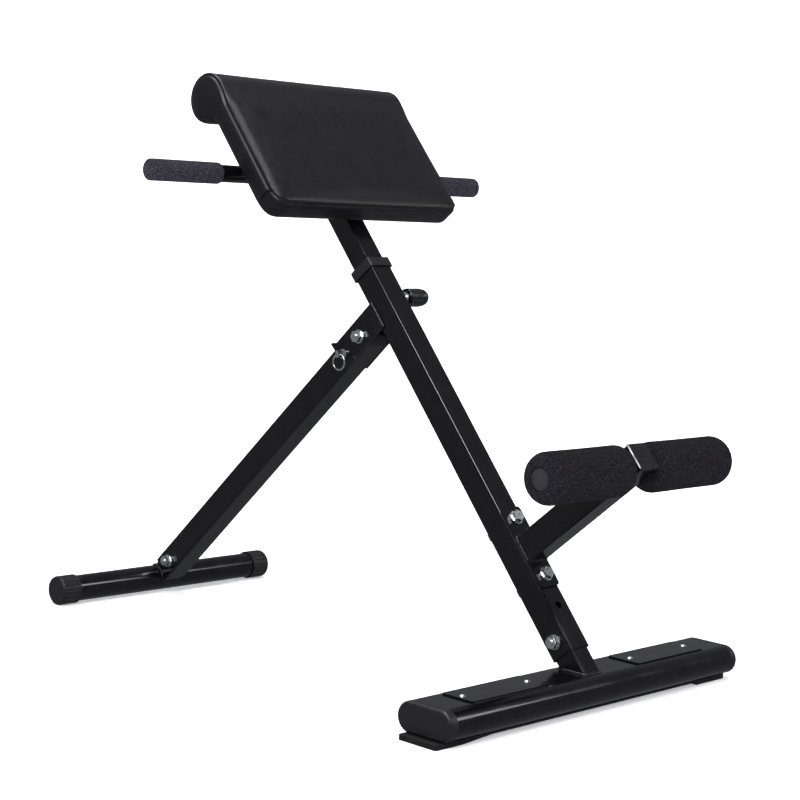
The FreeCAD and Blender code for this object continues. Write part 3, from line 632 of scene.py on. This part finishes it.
def distance_from_line(points, line):
    """Distance of each point from a line of straight pieces."""
    best = np.full(len(points), 1e9)
    for a, b in zip(line, line[1:]):
        d = b - a
        share = np.clip((points - a) @ d / max(d @ d, 1e-12), 0, 1)
        best = np.minimum(best, np.linalg.norm(points - (a + share[:, None] * d), axis=1))
    return best


def pad():
    points, faces, seam = pad_grid()
    row = to_row(points)
    obj = add_object("pad_cover", row, faces, LEATHER, "seat")
    on_board = (points[:, 1] < PAD_BACK_N + 0.0135) & (points[:, 0] < ROLL_LOW_S + 0.005)
    near_post = (np.abs(points[:, 2]) < 0.03) & (points[:, 0] < 1.012) & (points[:, 1] < 0.03)
    held = on_board | near_post
    held[seam] = True
    on_face = ramp(points[:, 1], 0.045, 0.060) * ramp(PAD_HALF - np.abs(points[:, 2]), 0.004, 0.05)
    on_face *= (ramp(points[:, 0], PAD_BOTTOM_S, PAD_BOTTOM_S + 0.04)
                * ramp(-points[:, 0], -ROLL_S, 0.05 - ROLL_S))
    swell(obj, held, EDGE_SWELL + (FACE_CROWN - EDGE_SWELL) * on_face)
    seam_line = from_row(coordinates(obj.data))[seam]
    subdivide(obj, 2)
    co = coordinates(obj.data)
    placed = from_row(co)
    distance = distance_from_line(placed, seam_line)
    normals = np.array([v.normal for v in obj.data.vertices])
    groove = -GROOVE_DEPTH * np.exp(-(distance / GROOVE_WIDTH) ** 2)
    pucker = np.array([noise.noise(Vector(p) * 75) + 0.5 * noise.noise(Vector(p) * 160) for p in co])
    corner = np.exp(-(((placed[:, 0] - PAD_BOTTOM_S - 0.012) / 0.022) ** 2
                      + ((np.abs(placed[:, 2]) - PAD_HALF + 0.016) / 0.026) ** 2))
    pucker = pucker * (SEAM_PUCKER + CORNER_PUCKER * corner)
    pucker *= np.exp(-distance / PUCKER_REACH) * (1 - np.exp(-(distance / 0.003) ** 2))
    broad = np.array([noise.noise(Vector(p) * 14) for p in co]) * BROAD_WAVE
    fixed = (placed[:, 1] < PAD_BACK_N + 0.013) & (placed[:, 0] < 1.008)
    shift = (groove + pucker + broad) * np.where(fixed, 0.0, 1.0)
    obj.data.vertices.foreach_set("co", (co + normals * shift[:, None]).ravel())
    obj.data.update()
    obj.data.polygons.foreach_set("use_smooth", [True] * len(obj.data.polygons))
    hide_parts("pad_cushion")
    stitches(obj, seam_line)
    pad_back()


STITCH_SPACING = 0.0038
STITCH_HALF = 0.0014         # half the length of a stitch
STITCH_R = 0.00034
STITCH_LIFT = 0.00016
STITCH_INSET = 0.0052        # from the seam


def stitches(cover, seam_line):
    """A row of thread stitches beside the seam, on the face's side."""
    skin = cover.data
    tree = BVHTree.FromPolygons([v.co for v in skin.vertices], [p.vertices for p in skin.polygons])
    spine = resample([Vector(p) for p in seam_line], STITCH_SPACING, False)
    middle_of_face = Vector((0.93, PAD_FACE_N + 0.01, 0))
    points, faces = [], []
    sides, rings = 6, ((-1.0, 0.15), (-0.8, 0.75), (0.0, 1.0), (0.8, 0.75), (1.0, 0.15))
    for before, after in zip(spine[1:-1], spine[2:]):
        here = (before + after) / 2
        direction = (after - before).normalized()
        inward = middle_of_face - here
        if here.x > ROLL_S - 0.03:
            across = Vector((here.x, here.y, 0))
            inward = across - here
            inward += (across - Vector((ROLL_S, ROLL_N, here.z))) * 0.9
        inward -= direction * inward.dot(direction)
        beside = here + inward.normalized() * STITCH_INSET
        place = Vector(to_row(np.array([beside]))[0])
        ahead = Vector(to_row(np.array([beside + direction * 0.001]))[0]) - place
        hit, normal, _, _ = tree.find_nearest(place)
        ahead = (ahead - normal * ahead.dot(normal)).normalized()
        side = normal.cross(ahead)
        first = len(points)
        for reach, width in rings:
            for k in range(sides):
                turn = 2 * math.pi * k / sides
                ray = side * math.cos(turn) + normal * math.sin(turn)
                points.append(hit + ahead * STITCH_HALF * reach + ray * STITCH_R * width
                              + normal * STITCH_LIFT * (1 - reach ** 2))
        faces += strip_faces(len(rings), sides, close_columns=True, first=first)
        faces.append(tuple(first + k for k in range(sides)))
        faces.append(tuple(first + (len(rings) - 1) * sides + k for k in range(sides)))
    add_object("pad_stitches", points, faces, THREAD, "seat")


def pad_back():
    """The cover's edge, turned over onto the board's back and stapled there."""
    width, thick = 0.016, TURNED_EDGE_THICK
    low, high = BOARD_S
    outer = rounded_rectangle(low - 0.004, high + 0.003, BOARD_HALF + 0.004, 0.014)
    inner = rounded_rectangle(low + width, high - width, BOARD_HALF - width, 0.006)
    count = len(outer)
    points = []
    for i in range(count):
        wave = 0.0016 * noise.noise(Vector((i * 0.31, 1.3, 0)))
        (s0, y0), (s1, y1) = outer[i], inner[i]
        toward = Vector((s0 - s1, y0 - y1)).normalized() * wave
        bulge = 0.0005 * (1 + noise.noise(Vector((i * 0.47, 5.1, 0))))
        for s, y, n in ((s0, y0, PAD_BACK_N + 0.0004), (s0, y0, BOARD_BACK_N - thick),
                        ((s0 + s1) / 2, (y0 + y1) / 2, BOARD_BACK_N - thick - bulge),
                        (s1 + toward.x, y1 + toward.y, BOARD_BACK_N - thick * 0.9),
                        (s1 + toward.x, y1 + toward.y, BOARD_BACK_N + 0.0002)):
            points.append(on_post(s, n, y))
    faces = strip_faces(count, 5, close_rows=True, close_columns=True)
    add_object("pad_turned_edge", points, faces, LEATHER, "seat")
    staples(inner, outer)


def rounded_rectangle(low, high, half, radius, per_side=26, per_corner=5):
    """Points (s, y) round a rectangle, the same number on each side and corner."""
    corners = ((low + radius, -half + radius, 180), (high - radius, -half + radius, 270),
               (high - radius, half - radius, 0), (low + radius, half - radius, 90))
    path = []
    arcs = []
    for s, y, start in corners:
        arc = []
        for k in range(per_corner + 1):
            turn = math.radians(start + 90 * k / per_corner)
            arc.append((s + radius * math.cos(turn), y + radius * math.sin(turn)))
        arcs.append(arc)
    for arc, after in zip(arcs, arcs[1:] + arcs[:1]):
        path += arc
        (s0, y0), (s1, y1) = arc[-1], after[0]
        for k in range(1, per_side):
            path.append((s0 + (s1 - s0) * k / per_side, y0 + (y1 - y0) * k / per_side))
    return path


def staples(inner, outer):
    """Wire staples through the turned edge."""
    points, faces = [], []
    half_length, wire = 0.0045, 0.0004
    top = BOARD_BACK_N - TURNED_EDGE_THICK - TURNED_EDGE_THICK
    inner_share, outer_share = 0.62, 0.38
    for i in range(4, len(inner), 6):
        s = inner[i][0] * inner_share + outer[i][0] * outer_share
        y = inner[i][1] * inner_share + outer[i][1] * outer_share
        if abs(y) < 0.075 and s < 0.9:
            continue
        turn = 0.6 * noise.noise(Vector((i * 1.7, 0.2, 4)))
        ds, dy = math.sin(turn), math.cos(turn)
        if abs(y) > BOARD_HALF - 0.02:
            ds, dy = dy, ds
        path = [(-1.0, 0.0022), (-1.0, 0.0005), (-0.9, 0.0), (0.9, 0.0), (1.0, 0.0005), (1.0, 0.0022)]
        first = len(points)
        for share, deep in path:
            centre = on_post(s + ds * half_length * share, top + deep, y + dy * half_length * share)
            run = (UP * ds + Vector((0, dy, 0))).normalized()
            lift = OUT if abs(share) < 0.95 else run * (1 if share > 0 else -1)
            flat = UP * dy - Vector((0, ds, 0))
            for a, b in ((1, 1), (1, -1), (-1, -1), (-1, 1)):
                points.append(centre + flat * wire * 1.5 * a + lift * wire * b)
        faces += strip_faces(len(path), 4, close_columns=True, first=first)
        faces.append(tuple(first + k for k in range(4)))
        faces.append(tuple(first + (len(path) - 1) * 4 + k for k in range(4)))
    add_object("pad_staples", points, faces, ZINC, "seat", smooth=False)


# ---- foam --------------------------------------------------------------------------------------
def rounded_outline(y0, y1, radius, bore, round0, round1, step=0.0016):
    """The outline (y, r) of a turned foam sleeve whose outer rims are rounded by two radii."""
    outline = []
    for y, corner, first in ((y0, round0, True), (y1, round1, False)):
        arc = []
        count = max(3, round(corner * math.pi / 2 / step))
        for k in range(count + 1):
            turn = math.pi / 2 * k / count
            out = y + corner * (1 - math.sin(turn)) if first else y - corner * (1 - math.sin(turn))
            arc.append((out, radius - corner + corner * math.cos(turn)))
        arc = arc[::-1] if first else arc
        flat_count = max(1, round((radius - corner - bore) / step / 1.5))
        flat = [(y, bore + (radius - corner - bore) * k / flat_count) for k in range(flat_count)]
        arc = flat + arc if first else arc + flat[::-1]
        if not first:
            gap = arc[0][0] - outline[-1][0]
            count = max(1, round(gap / step))
            outline += [(outline[-1][0] + gap * k / count, radius) for k in range(1, count)]
        outline += arc
    return outline


FOAM_GAP = 0.0003            # the visual foam stays this far inside the solid's box
PLUG_ROOM = 0.0153           # radius of the recess round the end plug
INNER_RIM_R = 0.016
OUTER_RIM_R = 0.018
ROLLER_SAG = 0.010
GRIP_RIM_R = 0.0032


def ankle_rollers():
    for side, name in ((-1, "left"), (1, "right")):
        node = "roller_foam_" + name
        low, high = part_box(node)
        centre = (low + high) / 2
        half = (high.y - low.y) / 2 - FOAM_GAP
        radius = (high.z - low.z) / 2 - FOAM_GAP
        sleeve_low, sleeve_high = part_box("roller_sleeve_" + name)
        bore = (sleeve_high.z - sleeve_low.z) / 2 + 0.00005
        sleeve_end = (sleeve_high.y if side > 0 else -sleeve_low.y) - side * centre.y
        outline = rounded_outline(-half, half, radius, PLUG_ROOM, INNER_RIM_R, OUTER_RIM_R)
        outline = [(y, r) for y, r in outline if y > -half + 1e-6 or r > PLUG_ROOM + 1e-6]
        outline = [(-half, bore)] + outline + [(sleeve_end + 0.0003, PLUG_ROOM), (sleeve_end, bore)]
        sagged = []
        for y, r in outline:
            sag = ROLLER_SAG * math.cos(y / half * math.pi / 2) if r > PLUG_ROOM + 0.004 else 0.0
            sagged.append((side * y, r * (1 - sag)))
        obj = lathe("foam_roller_" + name, sagged, centre, ROLLER_FOAM, "roller_" + name,
                    turns=150, rough=0.00030, grain=560)
        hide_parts(node)


def hand_grips():
    for side, name in ((-1, "left"), (1, "right")):
        node = "hand_grip_" + name
        low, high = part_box(node)
        centre = (low + high) / 2
        half = (high.y - low.y) / 2 - 0.0001
        radius = (high.z - low.z) / 2 - FOAM_GAP
        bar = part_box("handlebar")
        bore = (bar[1].z - bar[0].z) / 2 + 0.0001
        closed_end = 0.0025
        outline = rounded_outline(-half, half, radius, bore, GRIP_RIM_R, GRIP_RIM_R, step=0.0011)
        inner = [(y, r) for y, r in outline if y < half - closed_end or r > bore + 0.001]
        bar_end = (bar[1].y - bar[0].y) / 2 - abs(centre.y)
        cap = [(half, bore * share) for share in (0.98, 0.7, 0.4, 0.02)]
        outline = inner + cap + [(bar_end, 0.0003), (bar_end, bore)]
        outline = [(side * y, r) for y, r in outline]
        obj = lathe("foam_grip_" + name, outline, centre, GRIP_FOAM, "seat",
                    turns=84, rough=0.00016, grain=700)
        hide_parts(node)


# ---- welds -------------------------------------------------------------------------------------
def rectangle(centre, a, b, corner=0.003):
    """Corner points of a rectangle with small bevels, given its two half sides as vectors."""
    la, lb = a.length, b.length
    ua, ub = a.normalized(), b.normalized()
    path = []
    for sa, sb, swap in ((1, 1, 0), (-1, 1, 1), (-1, -1, 0), (1, -1, 1)):
        one = centre + ua * sa * la + ub * sb * (lb - corner)
        two = centre + ua * sa * (la - corner) + ub * sb * lb
        path += [two, one] if swap else [one, two]
    return path


def round_tube(centre, radius, count=48):
    """A circle just outside a tube that runs along Y."""
    a, b = UP * (radius + 0.0002), OUT * (radius + 0.0002)
    return [centre + a * math.cos(2 * math.pi * k / count) + b * math.sin(2 * math.pi * k / count)
            for k in range(count)]


def weld(name, path, body, radius=0.0021, closed=True):
    return tube_along("weld_" + name, path, radius, WELD, body, closed=closed,
                      sides=10, ripple=0.16, pitch=0.0033)


def welds():
    across = Vector((0, HALF_INNER, 0))
    base_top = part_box("base_tube")[1].z
    foot = POST_FOOT + UP * (base_top / UP.z)
    slant = Vector((HALF_INNER / math.sin(POST_ANGLE), 0, 0))
    weld("post_to_base", rectangle(foot, slant, across), "frame", 0.0030)
    wide = Vector((0, HALF_OUTER, 0))
    arm_foot = on_post(ARM_S, BRACKET_FACE_N, 0)
    weld("arm_to_bracket", rectangle(arm_foot, UP * HALF_OUTER, wide), "frame", 0.0024)
    axle = middle("roller_axle")
    for side in (-1, 1):
        end = "left" if side < 0 else "right"
        axle_r = (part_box("roller_axle")[1].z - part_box("roller_axle")[0].z) / 2
        bar_r = (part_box("handlebar")[1].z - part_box("handlebar")[0].z) / 2
        axle_end = Vector((axle.x, side * HALF_OUTER, axle.z))
        weld("axle_" + end, round_tube(axle_end, axle_r), "frame", 0.0017)
        bar_end = on_post(HANDLEBAR_S, 0, side * HALF_INNER)
        weld("handlebar_" + end, round_tube(bar_end, bar_r), "seat", 0.0019)
        for number, s in enumerate(PLATE_WELDS_S):
            ends = (s - PLATE_WELD_HALF, s + PLATE_WELD_HALF)
            line = [on_post(at, HALF_INNER, side * HALF_INNER) for at in ends]
            weld("pad_plate_%s_%d" % (end, number), line, "seat", 0.0016, closed=False)
        y = side * (HALF_OUTER + BRACKET_WELD_OUT)
        line = [on_post(at, BRACKET_WELD_N, y) for at in BRACKET_WELD_S]
        weld("strut_bracket_" + end, line, "frame", 0.0026, closed=False)
    foot_low, foot_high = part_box("front_foot_tube")
    centre = (foot_low + foot_high) / 2
    tube_r = (foot_high.z - foot_low.z) / 2
    pivot = middle("strut_pivot_bolt")
    lean = Vector((pivot.x - centre.x, 0, pivot.z - centre.z)).normalized()
    face = Vector((lean.z, 0, -lean.x))
    saddle = []
    for a, b in square_path(HALF_INNER, 12):
        saddle.append(centre + face * a + Vector((0, b, 0)) + lean * math.sqrt(tube_r ** 2 - a ** 2))
    weld("spigot_to_foot", saddle, "strut", 0.0026)


def square_path(half, per_side):
    """Points (a, b) round a square."""
    corners = [(1, -1), (1, 1), (-1, 1), (-1, -1)]
    path = []
    for (a0, b0), (a1, b1) in zip(corners, corners[1:] + corners[:1]):
        for k in range(per_side):
            share = k / per_side
            path.append(((a0 + (a1 - a0) * share) * half, (b0 + (b1 - b0) * share) * half))
    return path


# ---- spring ------------------------------------------------------------------------------------
def pin_spring():
    """The pull pin's coil spring."""
    wire, turns, steps = 0.0004, 4, 24
    low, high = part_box("pull_pin_spring")
    centre = (low + high) / 2
    coil = (high.x - low.x) / 2 - wire
    start, end = low.y + wire, high.y - wire
    path = []
    for k in range(turns * steps + 1):
        turn = 2 * math.pi * k / steps
        path.append(Vector((centre.x + coil * math.cos(turn), start + (end - start) * k / (turns * steps),
                            centre.z + coil * math.sin(turn))))
    obj = tube_along("pin_spring", path, wire, ZINC, "frame", closed=False, sides=8)
    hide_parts("pull_pin_spring")
    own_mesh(obj)


# ---- studio ------------------------------------------------------------------------------------
def floor():
    """A wide pale floor that sweeps up into a low wall far away."""
    f = Finish("studio_floor", 0.75, specular=0.15)
    f.colours(f.noise(1.2, 3), [(0.3, (0.88, 0.88, 0.885)), (0.7, (0.91, 0.91, 0.915))])
    f.put("Emission Color", (0.97, 0.975, 1.0, 1))
    away = f.node("ShaderNodeVectorMath", operation="LENGTH")
    f.link(f.place, away.inputs[0])
    glow = f.spread(away.outputs["Value"], 0.35, 0.95, start=0.6, end=2.6)
    f.link(glow, f.shader.inputs["Emission Strength"])
    flat_radius, sweep_radius, top = 7.5, 3.0, 5.0
    outline = [(1.5, 0.0), (4.0, 0.0), (flat_radius, 0.0)]
    for k in range(1, 13):
        turn = math.radians(90 * k / 12)
        outline.append((flat_radius + sweep_radius * math.sin(turn), sweep_radius * (1 - math.cos(turn))))
    outline.append((flat_radius + sweep_radius, top))
    turns, below = 96, 0.0002
    points = []
    for r, z in outline:
        for k in range(turns):
            turn = 2 * math.pi * k / turns
            points.append(Vector((r * math.cos(turn), r * math.sin(turn), z - below)))
    faces = strip_faces(len(outline), turns, close_columns=True)
    faces.append(tuple(range(turns)))
    obj = mesh_object("studio_floor", points, faces, f.material, inward=True)
    obj.visible_glossy = False


def softbox(name, place, aim, size, power):
    light = bpy.data.lights.new(name, "AREA")
    light.shape = "RECTANGLE"
    light.size, light.size_y = size
    light.energy = power
    obj = bpy.data.objects.new(name, light)
    bpy.context.scene.collection.objects.link(obj)
    obj.location = place
    obj.rotation_euler = (Vector(aim) - Vector(place)).to_track_quat("-Z", "Y").to_euler()


def lights():
    world = bpy.data.worlds.new("studio")
    bpy.context.scene.world = world
    world.use_nodes = True
    background = world.node_tree.nodes["Background"]
    background.inputs["Color"].default_value = (0.94, 0.96, 1.0, 1)
    background.inputs["Strength"].default_value = 0.2
    softbox("key", place=(1.5, -2.45, 3.15), aim=(0, 0, 0.4), size=(1.9, 0.5), power=110)
    softbox("overhead", place=(-0.5, -0.3, 3.8), aim=(0, 0, 0.3), size=(2.4, 1.8), power=130)
    softbox("rear", place=(2.8, 2.6, 2.4), aim=(0, 0, 0.4), size=(1.0, 1.4), power=30)


CAMERA_PLACE = POST_FOOT + Vector((1.53485, -2.02142, 0.67404))
CAMERA_YAW, CAMERA_PITCH, CAMERA_ROLL = (math.radians(a) for a in (43.85, -5.94, 2.76))
CAMERA_LENS = 85.41


def camera():
    data = bpy.data.cameras.new("camera")
    data.sensor_width = 36.0
    data.lens = CAMERA_LENS
    obj = bpy.data.objects.new("camera", data)
    bpy.context.scene.collection.objects.link(obj)
    forward = Vector((-math.sin(CAMERA_YAW) * math.cos(CAMERA_PITCH),
                      math.cos(CAMERA_YAW) * math.cos(CAMERA_PITCH), math.sin(CAMERA_PITCH)))
    right = Vector((math.cos(CAMERA_YAW), math.sin(CAMERA_YAW), 0))
    up = right.cross(forward)
    rolled_right = right * math.cos(CAMERA_ROLL) + up * math.sin(CAMERA_ROLL)
    rolled_up = up * math.cos(CAMERA_ROLL) - right * math.sin(CAMERA_ROLL)
    turned = Matrix((rolled_right, rolled_up, -forward)).transposed().to_4x4()
    obj.matrix_world = Matrix.Translation(CAMERA_PLACE) @ turned
    bpy.context.scene.camera = obj


camera()
floor()
lights()
finish_cad_nodes()
ankle_rollers()
hand_grips()
welds()
pin_spring()
pad()
bpy.context.scene.view_settings.view_transform = "Standard"
